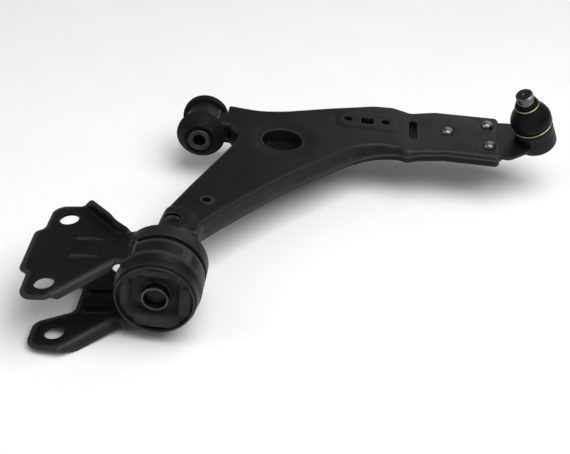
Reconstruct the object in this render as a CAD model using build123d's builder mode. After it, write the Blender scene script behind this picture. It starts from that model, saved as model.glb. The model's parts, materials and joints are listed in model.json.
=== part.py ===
"""Front lower control arm with rear bush bracket and pinch-bolt ball joint.

Frame, in millimetres: the origin is the centre of the front bush, on the
pivot axis. +Y runs along the pivot axis, from the rear bush to the front one.
+X points outboard, to the ball joint, and +Z is the normal of the arm's plate.
"""

import os
from math import cos, radians, sin, sqrt

from build123d import *

os.makedirs("parts", exist_ok=True)

# ---- driving dimensions ----------------------------------------------------

# Arm, a closed box of two pressed shells
plate_t = 3.0
arm_top = 15.0
arm_bottom = -14.0
arm_seam = -7.0
nose_bottom = -3.0
joint_plate_low = 7.8
nose_start = 262.0
nose_ramp = 190.0
lower_inset = 1.8
arm_edge_r = 5.0
arm_end = -246.0
wall_cut = 8.0
bead = 2.0
pad_spot = (198.5, 31.0)
pad_size = (72.0, 38.0)
pad_rise = 1.0

# Front bush, pressed into the arm's eye
eye_r = 23.0
eye_half = 16.0
front_shell_r = 20.5
front_shell_t = 1.6
front_sleeve_r = 13.6
front_bolt_r = 7.5
front_half = 37.5
front_rubber_half = 24.5
front_rim_r = 29.5
far_rim_r = 28.0
rim_clearance = 1.0
teeth = 20

# Rear bush, carried by the bracket
rear_face = -348.5
rear_length = 70.0
rear_shell_r = 41.0
rear_shell_t = 2.2
rear_sleeve_r = 14.2
rear_sleeve_t = 2.6
spigot_r = rear_sleeve_r - rear_sleeve_t
spigot_arm_r = 9.8
spigot_tip = -206.0
rubber_gap = 0.06
recess_size = (56.0, 42.0)
recess_depth = 12.0
rear_collar_r = 45.3
collar_ends = (-297.3, -278.3)
collar_chamfer = 1.5
edge_break = 0.8
sleeve_past = 6.0
rubber_sunk = 4.5

# Bracket, leaning about the pivot axis
bracket_lean = -8.1
bracket_y = -308.0
bracket_gap = 60.0
bracket_t = 3.0
bracket_left = -135.0
lower_recess_x = -90.0
hole_x = -103.5
hole_pitch = 110.0
bracket_hole_r = 10.2
tall_flange = {1: 16.0, -1: 10.5}
short_flange = 3.5
strap_in = 42.2
rib_rise = 1.8
rib_size = (32.0, 7.5)
rib_x = {1: -73.0, -1: -67.0}
rib_stations = {1: (17.5, -12.5), -1: (11.5, -17.0)}

# Ball joint, leaning inboard and rearwards
ball_centre = Vector(404.8, 37.0, 21.9)
ball_axis = Vector(-0.388, -0.236, 0.891)
ball_r = 11.8
seat_t = 1.8
seat_gap = 0.06
housing_r = 24.3
pin_r = 10.5
pin_top = 67.5
rivet_spots = [(297.8, 30.5), (348.2, 57.5), (349.0, 8.0)]
rivet_head_r = 7.8
rivet_r = 4.0
rivet_head_h = 4.4
stud_neck_r = 7.5
taper_low = 28.0
taper_high = 37.0
centre_mark = 2.4
groove_r = pin_r - 1.0
groove_low = 58.0
groove_high = 62.0
neck_r = 21.4
housing_low = -16.6
cap_r = 17.5
cap_high = -14.2
boot_t = 1.4

# ---- derived frames --------------------------------------------------------

lean = radians(bracket_lean)
lean_x = (cos(lean), 0, -sin(lean))
lean_z = (sin(lean), 0, cos(lean))
bracket_flat = Plane(origin=(0, bracket_y, 0), x_dir=lean_x, z_dir=lean_z)
bracket_side = Plane(origin=(0, bracket_y, 0), x_dir=lean_x, z_dir=(0, -1, 0))
axis_unit = ball_axis.normalized()
tilt_x = Vector(0, 1, 0).cross(axis_unit).normalized()
joint_side = Plane(origin=ball_centre, x_dir=tilt_x, z_dir=tilt_x.cross(axis_unit))
joint_flat = Plane(origin=ball_centre, x_dir=tilt_x, z_dir=axis_unit)
joint_axis = Axis(ball_centre, axis_unit)


def save(part, name):
    """Label a finished piece and write it as parts/NAME.step."""
    part.label = name
    export_step(part, f"parts/{name}.step")


def turned(profile, axis=Axis.Y):
    """A solid of revolution from (radius, station) points along the pivot axis."""
    with BuildPart() as body:
        with BuildSketch(Plane.XY):
            with BuildLine():
                Polyline(*profile, close=True)
            make_face()
        revolve(axis=axis)
    return body.part


def turned_joint(profile):
    """A solid of revolution from (radius, height) points about the ball joint's axis."""
    with BuildPart() as body:
        with BuildSketch(joint_side):
            with BuildLine():
                Polyline(*profile, close=True)
            make_face()
        revolve(axis=joint_axis)
    return body.part


# ---- arm shells ------------------------------------------------------------

arm_outline = [
    (14, 15.5), (25.5, 15.5), (25.5, 32.5), (66, 28), (95, 34), (150, 55), (206, 74), (230, 75.5),
    (252, 67), (282, 77.5), (364, 80.5), (360, 31), (365, -15.5), (295, -16.5), (271, -22),
    (249, -28.5), (240, -21.5), (216, -19.5), (190, -29), (112, -112), (47, -200), (30, -226),
    (29, arm_end), (-17, arm_end), (-14, -210), (6, -152), (28, -94), (44, -50), (46, -33), (36, -21),
    (33, -15.5), (14, -15.5),
]
arm_radii = [
    0, 1, 2, 60, 80, 150, 40, 14, 12, 30, 6, 60, 8, 20, 14, 10, 8, 30, 40, 300, 200, 20,
    5, 5, 60, 100, 100, 40, 8, 6, 2, 0,
]


def arm_sketch(inset=0.0):
    """The arm's plan outline, moved inwards by inset."""
    with BuildSketch() as plan:
        with BuildLine():
            FilletPolyline(*arm_outline, radius=arm_radii, close=True)
        make_face()
        if inset:
            offset(amount=-inset, kind=Kind.INTERSECTION)
    return plan.sketch


def level_band(low, low_nose, high, high_nose):
    """A slab over the whole arm, between two levels that step up at the nose."""
    with BuildPart() as slab:
        with BuildSketch(Plane.XZ.offset(-120)):
            with BuildLine():
                Polyline(
                    (-60, low), (nose_ramp, low), (nose_start, low_nose), (420, low_nose),
                    (420, high_nose), (nose_start, high_nose), (nose_ramp, high), (-60, high),
                    close=True,
                )
            make_face()
        extrude(amount=420)
    return slab.part


def arm_slab(inset, band):
    """The part of the arm's plan, inset from its edge, that lies inside a band of levels."""
    with BuildPart() as slab:
        with BuildSketch(Plane.XY.offset(-40)):
            add(arm_sketch(inset))
        extrude(amount=80)
        add(band, mode=Mode.INTERSECT)
    return slab.part


hole_spot = (98.9, -34.9)
hole_r = 23.8
hole_flare = 1.5
lower_hole_r = 10.0
collar_low = 1.0
small_hole = (28.5, -182.5)
small_hole_r = 4.6
pad_holes = [(175.0, 31.5), (221.0, 32.5)]
pad_hole_r = 5.3
window_spot = (198.5, 31.5)
window_size = (16.0, 15.0)
slot_spot = (255.3, 24.5)
slot_size = (42.0, 10.0)
plug_weld = (-2.0, -225.0)
plug_weld_r = 9.5
joint_plate_high = arm_top - plate_t


with BuildPart() as joint_plate_blank:
    with BuildSketch(Plane.XY.offset(joint_plate_low)):
        with BuildLine():
            FilletPolyline(
                (284, -6), (374, -12), (400, 12), (404, 68), (376, 72.5), (284, 60),
                radius=[10, 12, 20, 20, 12, 10], close=True,
            )
        make_face()
    extrude(amount=joint_plate_high - joint_plate_low)

hole_axis = Axis((*hole_spot, 0), (0, 0, 1))


# The large hole, with its rounded, drawn-in mouth
with BuildPart() as flared_hole:
    with BuildSketch(Plane.XZ.offset(-hole_spot[1])):
        with BuildLine():
            mouth = (hole_spot[0] + hole_r + hole_flare, arm_top)
            throat = (hole_spot[0] + hole_r, arm_top - hole_flare)
            RadiusArc(mouth, throat, -hole_flare)
            Polyline(throat, (throat[0], -30), (hole_spot[0], -30), (hole_spot[0], 30),
                     (mouth[0], 30), mouth)
        make_face()
    revolve(axis=hole_axis)


with BuildPart() as arm_upper_shell:
    add(arm_slab(0, level_band(arm_seam, joint_plate_low, arm_top, arm_top)))
    fillet(arm_upper_shell.edges().group_by(Axis.Z)[-1], radius=arm_edge_r)
    with BuildSketch(Plane.XY.offset(arm_top)):
        with Locations(pad_spot):
            RectangleRounded(*pad_size, 10)
        with Locations(small_hole):
            Circle(small_hole_r + 2.4)
    extrude(amount=pad_rise)
    add(arm_slab(plate_t, level_band(arm_seam - 1, joint_plate_low - 1, joint_plate_high,
                                     joint_plate_high)), mode=Mode.SUBTRACT)
    with Locations((*hole_spot, collar_low)):
        Cylinder(hole_r + plate_t, joint_plate_high - collar_low,
                 align=(Align.CENTER, Align.CENTER, Align.MIN))
    add(flared_hole.part, mode=Mode.SUBTRACT)
    with BuildSketch(Plane.XY):
        for spots, radius in (([small_hole], small_hole_r), (pad_holes, pad_hole_r),
                              ([plug_weld], plug_weld_r), (rivet_spots, rivet_r)):
            with Locations(*spots):
                Circle(radius)
        with Locations(window_spot):
            RectangleRounded(*window_size, 2.5)
        with Locations(slot_spot):
            SlotOverall(*slot_size, rotation=90)
    extrude(amount=arm_top + 2, mode=Mode.SUBTRACT)
    with BuildSketch(Plane.XZ.offset(-arm_end)):
        Circle(spigot_arm_r)
    extrude(amount=-wall_cut, mode=Mode.SUBTRACT)
    with BuildSketch(Plane.XZ):
        Circle(eye_r)
    extrude(amount=40, both=True, mode=Mode.SUBTRACT)
    with BuildSketch(Plane.XZ.offset(-eye_half)):
        Circle(far_rim_r + rim_clearance)
    extrude(amount=-40, mode=Mode.SUBTRACT)
    add(joint_plate_blank.part, mode=Mode.SUBTRACT)
save(arm_upper_shell.part, "arm_upper_shell")

with BuildPart() as arm_lower_shell:
    add(arm_slab(lower_inset, level_band(arm_bottom, nose_bottom, arm_seam, joint_plate_low)))
    add(arm_slab(lower_inset + plate_t, level_band(arm_bottom + plate_t, nose_bottom + plate_t, arm_seam + 1,
                                                   joint_plate_low + 1)), mode=Mode.SUBTRACT)
    with BuildSketch(Plane.XY.offset(arm_bottom - 1)):
        with Locations(hole_spot):
            Circle(lower_hole_r)
        with Locations(*rivet_spots):
            Circle(rivet_r)
    extrude(amount=40, mode=Mode.SUBTRACT)
    with BuildSketch(Plane.XZ.offset(-arm_end)):
        Circle(spigot_arm_r)
    extrude(amount=-wall_cut, mode=Mode.SUBTRACT)
    with BuildSketch(Plane.XZ):
        Circle(eye_r)
    extrude(amount=40, both=True, mode=Mode.SUBTRACT)
    with BuildSketch(Plane.XZ.offset(-eye_half)):
        Circle(far_rim_r + rim_clearance)
    extrude(amount=-40, mode=Mode.SUBTRACT)
save(arm_lower_shell.part, "arm_lower_shell")

with BuildPart() as seam_weld:
    add(arm_slab(0.4, level_band(arm_seam - bead, joint_plate_low - bead, arm_seam, joint_plate_low)))
    add(arm_slab(lower_inset, level_band(arm_seam - 2 * bead, joint_plate_low - 2 * bead, arm_seam + 1,
                                         joint_plate_low + 1)), mode=Mode.SUBTRACT)
    with BuildSketch(Plane.XZ.offset(-arm_end)):
        Circle(spigot_arm_r + 4)
    extrude(amount=-wall_cut, mode=Mode.SUBTRACT)
    with BuildSketch(Plane.XZ):
        Circle(eye_r)
    extrude(amount=40, both=True, mode=Mode.SUBTRACT)
    with BuildSketch(Plane.XZ.offset(-eye_half)):
        Circle(far_rim_r + rim_clearance)
    extrude(amount=-40, mode=Mode.SUBTRACT)
save(seam_weld.part, "seam_weld")

# ---- front eye and bush ----------------------------------------------------

with BuildPart() as front_eye_tube:
    with BuildSketch(Plane.XZ):
        Circle(eye_r)
        Circle(front_shell_r, mode=Mode.SUBTRACT)
    extrude(amount=eye_half, both=True)
    chamfer(front_eye_tube.edges().filter_by(GeomType.CIRCLE).group_by(SortBy.RADIUS)[-1], 0.8)
save(front_eye_tube.part, "front_eye_tube")

bead_spot = (sqrt(eye_r**2 - arm_top**2), arm_top)
with BuildPart() as eye_weld:
    with BuildSketch(Plane.XZ):
        with Locations(bead_spot):
            Circle(3.4)
        Circle(eye_r, mode=Mode.SUBTRACT)
        with Locations((bead_spot[0], arm_top)):
            Rectangle(20, 20, align=(Align.CENTER, Align.MAX), mode=Mode.SUBTRACT)
    extrude(amount=eye_half - 3, both=True)
save(eye_weld.part, "eye_weld")

front_shell_in = front_shell_r - front_shell_t
save(turned([
    (front_shell_in, -eye_half), (front_shell_r, -eye_half), (front_shell_r, eye_half),
    (front_shell_in, eye_half),
]), "front_bush_shell")

rubber_in = front_sleeve_r + rubber_gap
hub_face = -36.2
rim = [
    (rubber_in, hub_face + 2), (17.4, hub_face + 2), (17.8, hub_face), (18.8, hub_face), (27.8, -25.4),
    (front_rim_r, -23.4), (front_rim_r, -21.2), (28.4, -20.6), (28.4, -19.6), (29.0, -19), (29.0, -17.6),
    (27.5, -eye_half), (front_shell_in, -eye_half),
]
far_rim = [(min(radius, far_rim_r), -station) for radius, station in reversed(rim)]
save(turned(rim + far_rim), "front_bush_rubber")

with BuildPart() as front_bush_sleeve:
    with BuildSketch(Plane.XZ):
        Circle(front_sleeve_r)
        Circle(front_bolt_r, mode=Mode.SUBTRACT)
    extrude(amount=front_half, both=True)
    chamfer(front_bush_sleeve.edges().filter_by(GeomType.CIRCLE), 0.6)
    for end in (-front_half, front_half):
        with BuildSketch(Plane.XZ.offset(end)):
            with PolarLocations((front_sleeve_r + front_bolt_r) / 2, teeth):
                Rectangle(front_sleeve_r, 0.8)
        extrude(amount=0.7, both=True, mode=Mode.SUBTRACT)
save(front_bush_sleeve.part, "front_bush_sleeve")

# ---- rear bush -------------------------------------------------------------

rear_end = rear_face + rear_length
rear_shell_in = rear_shell_r - rear_shell_t
save(turned([
    (rear_shell_in, rear_face), (rear_shell_r - edge_break, rear_face),
    (rear_shell_r, rear_face + edge_break),
    (rear_shell_r, rear_end), (rear_shell_in, rear_end),
]), "rear_bush_shell")

save(turned([
    (spigot_r, rear_face + 2), (rear_sleeve_r - 0.5, rear_face + 2), (rear_sleeve_r, rear_face + 2.5),
    (rear_sleeve_r, rear_end + sleeve_past), (spigot_r, rear_end + sleeve_past),
]), "rear_bush_sleeve")

save(turned([
    (0, rear_face + 9), (spigot_r - 1.5, rear_face + 9), (spigot_r, rear_face + 10.5),
    (spigot_r, rear_end + sleeve_past), (rear_sleeve_r + 2, rear_end + sleeve_past),
    (rear_sleeve_r + 2, arm_end - 2),
    (rear_sleeve_r, arm_end), (spigot_arm_r, arm_end), (spigot_arm_r, spigot_tip - 2),
    (spigot_arm_r - 2, spigot_tip), (0, spigot_tip),
]), "rear_spigot")

rear_rubber_in = rear_sleeve_r + rubber_gap
with BuildPart() as rear_bush_rubber:
    add(turned([
        (rear_rubber_in, rear_face + rubber_sunk), (rear_shell_in, rear_face + rubber_sunk),
        (rear_shell_in, rear_end - 3), (rear_rubber_in, rear_end - 3),
    ]))
    with BuildSketch(Plane.XZ.offset(-rear_face)):
        RectangleRounded(*recess_size, 4)
    extrude(amount=-recess_depth, mode=Mode.SUBTRACT)
    with BuildSketch(Plane.XZ.offset(-rear_face)):
        with Locations((-31, 0), (31, 0)):
            SlotOverall(26, 5, rotation=90)
    extrude(amount=-recess_depth, mode=Mode.SUBTRACT)
save(rear_bush_rubber.part, "rear_bush_rubber")

save(turned([
    (rear_shell_r, collar_ends[0]), (rear_collar_r - edge_break, collar_ends[0]),
    (rear_collar_r, collar_ends[0] + edge_break), (rear_collar_r, collar_ends[1] - collar_chamfer),
    (rear_collar_r - collar_chamfer, collar_ends[1]), (rear_shell_r, collar_ends[1]),
]), "rear_collar")

# ---- bracket ---------------------------------------------------------------

tube_ends = (rear_face + 4, collar_ends[0])
save(turned([
    (rear_shell_r, tube_ends[0]), (strap_in - 0.3, tube_ends[0]), (strap_in, tube_ends[0] + 0.3),
    (strap_in, tube_ends[1]), (rear_shell_r, tube_ends[1]),
]), "bracket_tube")

# Each plate's plan, from the hoop outwards: its tall-flanged edge, its short-flanged edge and its end
tall_edge = [(-28, 30), (-44, 30), (-91, 80)]
tall_radii = [0, 12, 10]
short_edge = [(-28, 20.5), (-40, 20.5), (-93, 77.5)]
short_radii = [0, 20, 10]
plate_ends = {
    1: [(-124.5, 79.5), (-125.5, 38.5), (bracket_left, 33)],
    -1: [(-128.5, 80), (-128.5, 39), (lower_recess_x, 20.6)],
}
end_radii = {1: [16, 9, 8], -1: [22, 14, 9]}
strap_edges = (-20.5, 4.0)


def bracket_plan(side):
    """One pressed plate's plan, in the leaning plane, without the strap round the bush."""
    tall = [(x, side * v) for x, v in tall_edge + plate_ends[side]]
    short = [(x, -side * v) for x, v in short_edge + plate_ends[side]]
    radii = tall_radii + end_radii[side] + end_radii[side][::-1] + short_radii[::-1]
    with BuildSketch() as plan:
        with BuildLine():
            FilletPolyline(*tall, *short[::-1], radius=radii, close=True)
        make_face()
    return plan.sketch


def edge_band(side):
    """A strip one sheet wide just inside the plan's edge."""
    with BuildSketch() as band:
        add(bracket_plan(side))
        with BuildSketch(mode=Mode.PRIVATE) as inside:
            add(bracket_plan(side))
            offset(amount=-bracket_t, kind=Kind.INTERSECTION)
        add(inside.sketch, mode=Mode.SUBTRACT)
    return band.sketch


def flange(side, edge, height):
    """The flange along one slanting edge, raised to height, falling towards the hoop."""
    with BuildPart() as lip:
        with BuildSketch(bracket_flat):
            add(edge_band(side))
            with Locations((-66, edge * 50)):
                Rectangle(61, 54, mode=Mode.INTERSECT)
        extrude(amount=60, both=True)
        with BuildSketch(bracket_side):
            with BuildLine():
                rise = side * (bracket_gap / 2)
                Polyline((-97, rise), (-82, rise + height), (-56, rise + height), (-37, rise + 0.4 * height),
                         (-36, rise), close=True)
            make_face()
        extrude(amount=100, both=True, mode=Mode.INTERSECT)
    return lip.part


def bracket_plate(side):
    """One pressed plate and its half strap: side 1 is the upper one, -1 the lower one."""
    inner = side * bracket_gap / 2
    with BuildPart() as plate:
        with BuildSketch(bracket_side):
            Circle(strap_in + bracket_t)
            with Locations((0, side * 0.2)):
                Rectangle(120, 60, align=(Align.CENTER, Align.MAX if side > 0 else Align.MIN),
                          mode=Mode.SUBTRACT)
            with Locations((bracket_left / 2 - 14, inner + side * bracket_t / 2)):
                Rectangle(-bracket_left - 20, bracket_t)
            fillet(sorted(vertices(), key=lambda v: (v.X + 31) ** 2 + (v.Y - side * 33) ** 2)[:1], 9)
            Circle(strap_in, mode=Mode.SUBTRACT)
        extrude(amount=100, both=True)
        with BuildSketch(bracket_flat.offset(-60)):
            add(bracket_plan(side))
            with Locations((-38, strap_edges[0])):
                Rectangle(90, strap_edges[1] - strap_edges[0], align=(Align.MIN, Align.MIN))
        extrude(amount=120, mode=Mode.INTERSECT)
        add(flange(side, side, side * (bracket_t + tall_flange[side])))
        add(flange(side, -side, -side * short_flange))
        with BuildSketch(bracket_flat.offset(inner + side * bracket_t)):
            with Locations(*[(rib_x[side], v) for v in rib_stations[side]]):
                SlotOverall(*rib_size)
        extrude(amount=side * rib_rise, taper=30)
        with BuildSketch(bracket_flat.offset(-60)):
            with Locations((hole_x, hole_pitch / 2), (hole_x, -hole_pitch / 2)):
                Circle(bracket_hole_r)
        extrude(amount=120, mode=Mode.SUBTRACT)
        with BuildSketch(Plane.XZ.offset(-tube_ends[1])):
            Circle(rear_collar_r + 0.3)
        extrude(amount=-60, mode=Mode.SUBTRACT)
    return plate.part


save(bracket_plate(1), "bracket_upper_plate")
save(bracket_plate(-1), "bracket_lower_plate")

with BuildPart() as bracket_weld:
    with BuildSketch(bracket_side):
        with Locations((strap_in + bracket_t, 0)):
            Circle(2)
        Circle(strap_in + bracket_t, mode=Mode.SUBTRACT)
    extrude(amount=-strap_edges[0] - 1)
    extrude(to_extrude=bracket_weld.faces().sort_by(Axis.Y)[-1], amount=strap_edges[1] - 1)
save(bracket_weld.part, "bracket_weld")

# ---- ball joint ------------------------------------------------------------

cavity_r = ball_r + seat_t + seat_gap
mouth_h = 6.7
with BuildPart() as ball_joint_housing:
    add(turned_joint([
        (0, housing_low), (housing_r - 2, housing_low), (housing_r, housing_low + 2), (housing_r, 12.5),
        (neck_r + 0.5, 14.5), (neck_r, 15), (neck_r, 21), (neck_r - 1, 21.8), (19.2, 21.8),
        (sqrt(cavity_r**2 - mouth_h**2), mouth_h), (0, mouth_h),
    ]))
    with Locations(ball_centre):
        Sphere(cavity_r, mode=Mode.SUBTRACT)
    add(turned_joint([(0, housing_low - 1), (cap_r, housing_low - 1), (cap_r, cap_high), (0, cap_high)]),
        mode=Mode.SUBTRACT)
save(ball_joint_housing.part, "ball_joint_housing")

save(turned_joint([
    (0, housing_low), (cap_r - 2, housing_low), (cap_r - 0.4, housing_low + 1), (cap_r - 0.4, cap_high),
    (0, cap_high),
]), "ball_joint_cap")

with BuildPart() as ball_seat:
    with Locations(ball_centre):
        Sphere(ball_r + seat_t)
        Sphere(ball_r + seat_gap, mode=Mode.SUBTRACT)
    add(turned_joint([(0, 6), (30, 6), (30, 30), (0, 30)]), mode=Mode.SUBTRACT)
    add(turned_joint([(0, -30), (30, -30), (30, -9), (0, -9)]), mode=Mode.SUBTRACT)
save(ball_seat.part, "ball_seat")

with BuildPart() as ball_stud:
    add(turned_joint([
        (0, 0), (stud_neck_r, 0), (stud_neck_r, taper_low), (pin_r, taper_high), (pin_r, groove_low),
        (groove_r, groove_low + 1), (groove_r, groove_high - 1), (pin_r, groove_high), (pin_r, pin_top - 1),
        (pin_r - 1, pin_top), (centre_mark, pin_top), (0, pin_top - centre_mark),
    ]))
    with Locations(ball_centre):
        Sphere(ball_r)
save(ball_stud.part, "ball_stud")

with BuildPart() as ball_joint_plate:
    add(joint_plate_blank.part)
    add(turned_joint([(0, -60), (housing_r, -60), (housing_r, 60), (0, 60)]), mode=Mode.SUBTRACT)
    with BuildSketch(Plane.XY):
        with Locations(*rivet_spots):
            Circle(rivet_r)
    extrude(amount=30, mode=Mode.SUBTRACT)
save(ball_joint_plate.part, "ball_joint_plate")

with BuildPart() as ball_joint_rivets:
    for x, y in rivet_spots:
        with Locations((x, y, nose_bottom)):
            Cylinder(rivet_r, arm_top - nose_bottom, align=(Align.CENTER, Align.CENTER, Align.MIN))
        for level, way in ((arm_top, 1), (nose_bottom, -1)):
            with BuildSketch(Plane.XZ.offset(-y)):
                with BuildLine():
                    crown = (x, level + way * rivet_head_h)
                    edge = (x + rivet_head_r, level)
                    ThreePointArc(crown, (x + 0.72 * rivet_head_r, level + way * 0.74 * rivet_head_h), edge)
                    Polyline(edge, (x, level), crown)
                make_face()
            revolve(axis=Axis((x, y, 0), (0, 0, 1)))
save(ball_joint_rivets.part, "ball_joint_rivets")

boot_outside = [
    (23.0, 15.3), (23.0, 20.2), (24.3, 22.4), (24.9, 25.5), (24.4, 29.5), (22.6, 34.3), (19.8, 39.3),
    (16.6, 43.8), (13.8, 47.4), (13.2, 49.5), (13.2, 53),
]
boot_inside = [(r - boot_t, h) for r, h in boot_outside]
boot_inside[-3:] = [(12.6, 47.4), (12.5, 49.5), (12.5, 53)]
boot_inside[0] = (neck_r + 0.3, 15.3)
boot_inside[1] = (neck_r + 0.3, 21.2)
save(turned_joint(boot_outside + boot_inside[::-1]), "dust_boot")

boot_rings = {"boot_lower_ring": (24.05, 18.0, 1.0), "boot_upper_ring": (14.15, 50.0, 0.9)}
for name, (ring_r, height, wire_r) in boot_rings.items():
    with BuildPart() as ring:
        with Locations(joint_flat.offset(height).location):
            Torus(ring_r, wire_r)
    save(ring.part, name)

boot_top = 55.4
boot_grip = 46.5
boot_collar_r = 12.3
save(turned_joint([
    (pin_r + rubber_gap, boot_grip), (boot_collar_r, boot_grip), (boot_collar_r, boot_top - 2),
    (boot_collar_r + 0.7, boot_top - 1.4), (boot_collar_r + 0.3, boot_top), (pin_r + rubber_gap, boot_top),
]), "boot_collar")
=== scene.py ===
import json
import math
from math import cos, pi, radians, sin, sqrt

import bmesh
import bpy
import numpy as np
from mathutils import Matrix, Vector, geometry


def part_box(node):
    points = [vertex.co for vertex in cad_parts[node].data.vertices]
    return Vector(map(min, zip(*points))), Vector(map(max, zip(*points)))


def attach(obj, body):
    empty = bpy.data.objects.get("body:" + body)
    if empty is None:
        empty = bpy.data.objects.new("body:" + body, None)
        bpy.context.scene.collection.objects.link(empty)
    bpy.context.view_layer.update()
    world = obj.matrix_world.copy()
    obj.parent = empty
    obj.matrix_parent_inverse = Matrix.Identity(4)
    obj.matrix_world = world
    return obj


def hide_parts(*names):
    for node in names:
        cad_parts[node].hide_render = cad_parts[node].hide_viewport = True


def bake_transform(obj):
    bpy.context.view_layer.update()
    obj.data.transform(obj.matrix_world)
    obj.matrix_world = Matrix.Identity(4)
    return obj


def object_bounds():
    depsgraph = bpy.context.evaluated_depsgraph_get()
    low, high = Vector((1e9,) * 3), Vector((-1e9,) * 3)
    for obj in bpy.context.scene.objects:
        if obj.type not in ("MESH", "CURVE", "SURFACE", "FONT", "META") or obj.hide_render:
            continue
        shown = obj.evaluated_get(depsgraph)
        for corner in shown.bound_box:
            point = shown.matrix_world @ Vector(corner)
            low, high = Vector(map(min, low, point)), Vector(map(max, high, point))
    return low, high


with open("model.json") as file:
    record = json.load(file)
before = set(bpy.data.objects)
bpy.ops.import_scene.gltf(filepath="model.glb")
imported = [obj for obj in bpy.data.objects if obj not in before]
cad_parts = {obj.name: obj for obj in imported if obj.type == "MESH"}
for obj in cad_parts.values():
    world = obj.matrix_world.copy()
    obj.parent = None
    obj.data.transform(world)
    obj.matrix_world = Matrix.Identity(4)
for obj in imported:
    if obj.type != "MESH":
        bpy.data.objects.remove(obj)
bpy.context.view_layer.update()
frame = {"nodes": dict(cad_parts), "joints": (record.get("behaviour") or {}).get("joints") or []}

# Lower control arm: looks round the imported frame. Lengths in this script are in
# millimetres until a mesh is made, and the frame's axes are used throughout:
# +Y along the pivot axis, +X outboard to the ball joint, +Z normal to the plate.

MM = 0.001

# ---- frame values ----------------------------------------------------------

joints = {joint["name"]: joint for joint in frame["joints"]}
ball_centre = Vector(joints["stud_spin"]["pos_m"]) / MM
ball_axis = Vector(joints["stud_spin"]["axis"]).normalized()
lean = radians(-8.1)


def node_box(node):
    """A CAD node's lowest and highest corner, in millimetres."""
    low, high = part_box(node)
    return low / MM, high / MM


def frame_at(origin, x_axis, z_axis):
    """A placing matrix, in millimetres, from an origin and two axes."""
    z = Vector(z_axis).normalized()
    y = z.cross(Vector(x_axis)).normalized()
    x = y.cross(z)
    matrix = Matrix((x, y, z)).transposed().to_4x4()
    matrix.translation = Vector(origin)
    return matrix


pivot = frame_at((0, 0, 0), (1, 0, 0), (0, 1, 0))
ball_frame = frame_at(ball_centre, (1, 0, 0), ball_axis)
bracket_mid = -308.0
bracket_frame = frame_at((0, bracket_mid, 0), (cos(lean), 0, -sin(lean)), (sin(lean), 0, cos(lean)))

# ---- outline and mesh helpers ----------------------------------------------


def rounded(corners, closed=True, arc_step=12.0):
    """Turn (x, y, radius) corners into a dense outline with tangent arcs."""
    points = []
    count = len(corners)
    for i, (x, y, radius) in enumerate(corners):
        here = Vector((x, y))
        if not closed and i in (0, count - 1) or radius <= 0:
            points.append(here)
            continue
        back = Vector(corners[i - 1][:2]) - here
        on = Vector(corners[(i + 1) % count][:2]) - here
        turn = back.angle(on)
        reach = min(radius / math.tan(turn / 2), 0.49 * back.length, 0.49 * on.length)
        true_radius = reach * math.tan(turn / 2)
        start, end = here + back.normalized() * reach, here + on.normalized() * reach
        bisector = (back.normalized() + on.normalized()).normalized()
        centre = here + bisector * (true_radius / sin(turn / 2))
        sweep = pi - turn
        steps = max(2, int(math.degrees(sweep) / arc_step) + 1)
        a0 = math.atan2(start.y - centre.y, start.x - centre.x)
        a1 = math.atan2(end.y - centre.y, end.x - centre.x)
        delta = (a1 - a0 + pi) % (2 * pi) - pi
        for k in range(steps + 1):
            a = a0 + delta * k / steps
            points.append(centre + Vector((cos(a), sin(a))) * true_radius)
    return points


def dense(points, step, closed=True):
    """Divide an outline's long runs so that no run is longer than step."""
    out = []
    pairs = zip(points, points[1:] + points[:1]) if closed else zip(points, points[1:])
    for p, q in pairs:
        parts = max(1, math.ceil((q - p).length / step))
        out += [p.lerp(q, k / parts) for k in range(parts)]
    if not closed:
        out.append(points[-1])
    tidy = [out[0]]
    for p in out[1:]:
        if (p - tidy[-1]).length > step * 0.08:
            tidy.append(p)
    return tidy


def circle(x, y, radius, count=40):
    """A closed circle as outline points."""
    return [Vector((x + radius * cos(2 * pi * k / count), y + radius * sin(2 * pi * k / count)))
            for k in range(count)]


def slot_outline(x, y, length, width, vertical=True):
    """A closed slot with round ends."""
    half, radius = (length - width) / 2, width / 2
    points = []
    for end, start in ((1, 0), (-1, pi)):
        points += [Vector((radius * cos(start + pi * k / 10), end * half + radius * sin(start + pi * k / 10)))
                   for k in range(11)]
    if not vertical:
        points = [Vector((p.y, -p.x)) for p in points]
    return [Vector((x, y)) + p for p in points]


def segment_distance(points, loop):
    """Distance of each point of an (n, 2) array from a closed loop."""
    a = np.array([tuple(p) for p in loop])
    d = np.roll(a, -1, axis=0) - a
    rel = points[:, None, :] - a[None]
    t = np.clip((rel * d).sum(2) / np.maximum((d * d).sum(1), 1e-12), 0, 1)
    return np.sqrt(((rel - t[..., None] * d) ** 2).sum(2)).min(1)


def inside(points, loop):
    """Which points of an (n, 2) array lie inside a closed loop."""
    a = np.array([tuple(p) for p in loop])
    b = np.roll(a, -1, axis=0)
    x, y = points[:, :1], points[:, 1:]
    crosses = (a[:, 1] > y) != (b[:, 1] > y)
    slope = (b[:, 0] - a[:, 0]) / np.where(b[:, 1] == a[:, 1], 1e-9, b[:, 1] - a[:, 1])
    return (crosses & (x < a[:, 0] + (y - a[:, 1]) * slope)).sum(1) % 2 == 1


def moved(loop, distance):
    """A loop moved to its left by distance, point by point."""
    out = []
    for i, p in enumerate(loop):
        along = (loop[(i + 1) % len(loop)] - loop[i - 1]).normalized()
        out.append(p + Vector((-along.y, along.x)) * distance)
    return out


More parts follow.
